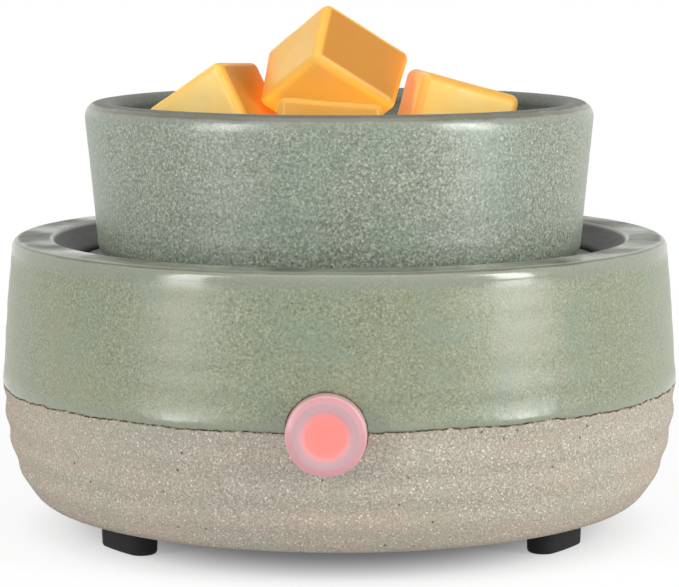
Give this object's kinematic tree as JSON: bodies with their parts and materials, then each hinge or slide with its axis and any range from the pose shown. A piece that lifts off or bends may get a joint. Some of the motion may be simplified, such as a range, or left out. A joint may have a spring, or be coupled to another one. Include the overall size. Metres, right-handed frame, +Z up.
{
  "type": "wax melt warmer",
  "caption": "Round stoneware electric warmer with a lit push button and a warming plate, and a loose glazed dish that holds wax melts.",
  "frame": {"origin": "centre of the standing plane, under the vertical axis", "axes": "+Z up along the axis of the base and the dish, -Y towards the user and the push button"},
  "size_m": [0.15, 0.1564, 0.1148],
  "materials": {
    "stoneware": "satin",
    "dish_glaze": "satin",
    "black_plastic": "matte",
    "black_rubber": "matte",
    "coated_aluminium": "matte",
    "zinc_steel": "satin",
    "mica": "matte",
    "fibre": "matte",
    "silicone": "matte",
    "brass": "satin",
    "foam": "matte",
    "white_plastic": "satin",
    "frosted_plastic": "satin",
    "lamp_lens": "gloss",
    "lead_white": "satin",
    "lead_black": "satin",
    "lead_red": "satin",
    "wax": "satin"
  },
  "bodies": {
    "base": {"base_shell": "stoneware", "bottom_cover": "black_plastic", "foot_front_left": "black_rubber", "foot_front_right": "black_rubber", "foot_rear_left": "black_rubber", "foot_rear_right": "black_rubber", "plate_gasket": "silicone", "warming_plate": "coated_aluminium", "plate_studs": "zinc_steel", "heater_element": "mica", "heater_terminals": "brass", "insulation_pad": "fibre", "pressure_plate": "zinc_steel", "clamp_spider": "zinc_steel", "stud_washers": "zinc_steel", "plate_nuts": "zinc_steel", "cover_posts": "zinc_steel", "cover_screws": "zinc_steel", "thermal_fuse": "zinc_steel", "crimp_sleeves": "brass", "fuse_clip": "zinc_steel", "fuse_screw": "zinc_steel", "switch_gasket": "foam", "switch_housing": "white_plastic", "switch_base": "black_plastic", "return_spring": "zinc_steel", "indicator_lamp": "lamp_lens", "switch_terminals": "brass", "terminal_block": "white_plastic", "terminal_screws": "zinc_steel", "block_screws": "zinc_steel", "cord_gland": "black_rubber", "lead_live": "lead_black", "lead_lamp": "lead_white", "lead_neutral": "lead_white", "lead_switched": "lead_red", "lead_heater": "lead_red"},
    "button": {"button_cap": "frosted_plastic", "contact_slider": "black_plastic"},
    "dish": {"dish": "dish_glaze"},
    "melt_front": {"wax_melt_front": "wax"},
    "melt_left": {"wax_melt_left": "wax"},
    "melt_right": {"wax_melt_right": "wax"},
    "melt_top": {"wax_melt_top": "wax"}
  },
  "joints": [
    {"name": "button_press", "type": "slide", "parent": "base", "child": "button", "axis": [0, 1, 0], "range_m": [0, 0.0016], "stiffness_N_per_m": 600, "springref_m": -0.0015, "deforming": ["return_spring"]},
    {"name": "dish_lift", "type": "slide", "parent": "base", "child": "dish", "axis": [0, 0, 1], "range_m": [0, 0.06]},
    {"name": "melt_front_lift", "type": "slide", "parent": "dish", "child": "melt_front", "axis": [0, 0, 1], "range_m": [0, 0.03]},
    {"name": "melt_left_lift", "type": "slide", "parent": "melt_front", "child": "melt_left", "axis": [0, 0, 1], "range_m": [0, 0.03]},
    {"name": "melt_right_lift", "type": "slide", "parent": "melt_left", "child": "melt_right", "axis": [0, 0, 1], "range_m": [0, 0.03]},
    {"name": "melt_top_lift", "type": "slide", "parent": "melt_right", "child": "melt_top", "axis": [0, 0, 1], "range_m": [0, 0.03]}
  ]
}
